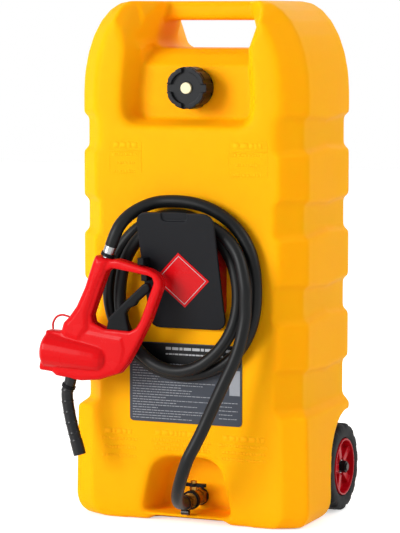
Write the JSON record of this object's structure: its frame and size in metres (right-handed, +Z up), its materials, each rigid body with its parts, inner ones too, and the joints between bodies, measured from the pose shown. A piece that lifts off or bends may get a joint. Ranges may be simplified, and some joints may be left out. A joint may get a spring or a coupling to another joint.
{
  "type": "fuel caddy",
  "caption": "Wheeled blow-moulded fuel caddy: yellow tank with a hand hole, filler cap, foot valve, coiled rubber hose on a holder, and a red dispensing nozzle.",
  "frame": {"origin": "centre of the tank's base, on the floor between its feet", "axes": "+X to the right seen from the front, +Y from the front towards the back, +Z up"},
  "size_m": [0.431, 0.3831, 0.838],
  "materials": {
    "tank_pe": "satin",
    "black_plastic": "satin",
    "label_grey": "satin",
    "red_plastic": "gloss",
    "crimson_plastic": "satin",
    "ivory_plastic": "satin",
    "black_rubber": "matte",
    "tyre_rubber": "matte",
    "seal_rubber": "matte",
    "brass": "satin",
    "steel": "satin",
    "aluminium": "satin",
    "ptfe": "matte"
  },
  "bodies": {
    "caddy": {"tank": "tank_pe", "filler_neck": "black_plastic", "hose_holder_plate": "black_plastic", "hose_holder_core": "crimson_plastic", "holder_screw_left": "steel", "holder_screw_right": "steel", "diamond_tile": "red_plastic", "info_label": "label_grey", "nozzle_clip": "black_plastic", "nozzle_cover_front": "red_plastic", "nozzle_cover_back": "red_plastic", "nozzle_screw_1": "steel", "nozzle_screw_2": "steel", "nozzle_screw_3": "steel", "nozzle_core": "aluminium", "poppet_spring": "steel", "inlet_ferrule": "steel", "inlet_collar": "black_plastic", "lever_pin": "steel", "spout": "black_plastic", "spout_gland": "black_plastic", "hang_loop": "red_plastic", "outlet_seal": "seal_rubber", "outlet_bushing": "brass", "outlet_nut": "brass", "valve_body": "brass", "ball_seat_front": "ptfe", "ball_seat_back": "ptfe", "gland_nut": "brass", "valve_collar": "black_plastic", "hose_barb": "brass", "hose_clamp": "steel", "hose_lower_run": "black_rubber", "hose_coil": "black_rubber", "axle": "steel", "washer_inner_right": "steel", "washer_outer_right": "steel", "axle_nut_right": "black_plastic", "washer_inner_left": "steel", "washer_outer_left": "steel", "axle_nut_left": "black_plastic"},
    "cap_gasket": {"cap_gasket": "seal_rubber"},
    "cap": {"filler_cap": "black_plastic", "vent_spring": "steel"},
    "vent": {"vent_button": "ivory_plastic"},
    "trigger": {"trigger_lever": "black_plastic"},
    "poppet": {"nozzle_poppet": "brass"},
    "valve": {"valve_handle": "black_plastic", "handle_nut": "steel", "valve_stem": "brass", "valve_ball": "steel"},
    "wheel_right": {"tyre_right": "tyre_rubber", "wheel_rim_right": "crimson_plastic", "wheel_bush_right": "ptfe"},
    "wheel_left": {"tyre_left": "tyre_rubber", "wheel_rim_left": "crimson_plastic", "wheel_bush_left": "ptfe"}
  },
  "joints": [
    {"name": "cap_lift", "type": "slide", "parent": "caddy", "child": "cap_gasket", "axis": [0, -1, 0], "range_m": [0, 0.03]},
    {"name": "cap_turn", "type": "hinge", "parent": "cap_gasket", "child": "cap", "pos_m": [0, -0.13, 0.7], "axis": [0, -1, 0], "range_deg": [0, 1800]},
    {"name": "vent_press", "type": "slide", "parent": "cap", "child": "vent", "axis": [0, 1, 0], "range_m": [0, 0.0028], "stiffness_N_per_m": 800, "springref_m": -0.001},
    {"name": "trigger_pull", "type": "hinge", "parent": "caddy", "child": "trigger", "pos_m": [-0.099, -0.192, 0.305], "axis": [0, -1, 0], "range_deg": [0, 16], "stiffness_Nm_per_rad": 1.2, "springref_deg": -5.73},
    {"name": "poppet_open", "type": "slide", "parent": "caddy", "child": "poppet", "axis": [-0.9926, 0, 0.1214], "range_m": [0, 0.004]},
    {"name": "valve_turn", "type": "hinge", "parent": "caddy", "child": "valve", "pos_m": [0, -0.1009, 0.035], "axis": [0, 0, 1], "range_deg": [0, 90]},
    {"name": "wheel_right_spin", "type": "hinge", "parent": "caddy", "child": "wheel_right", "pos_m": [0.179, 0.076, 0.072], "axis": [1, 0, 0], "continuous": true},
    {"name": "wheel_left_spin", "type": "hinge", "parent": "caddy", "child": "wheel_left", "pos_m": [-0.179, 0.076, 0.072], "axis": [1, 0, 0], "continuous": true}
  ],
  "couplings": [
    {"joint": "cap_turn", "follows": "cap_lift", "rad_per_m": 1047.2},
    {"joint": "poppet_open", "follows": "trigger_pull", "m_per_rad": 0.01432}
  ]
}
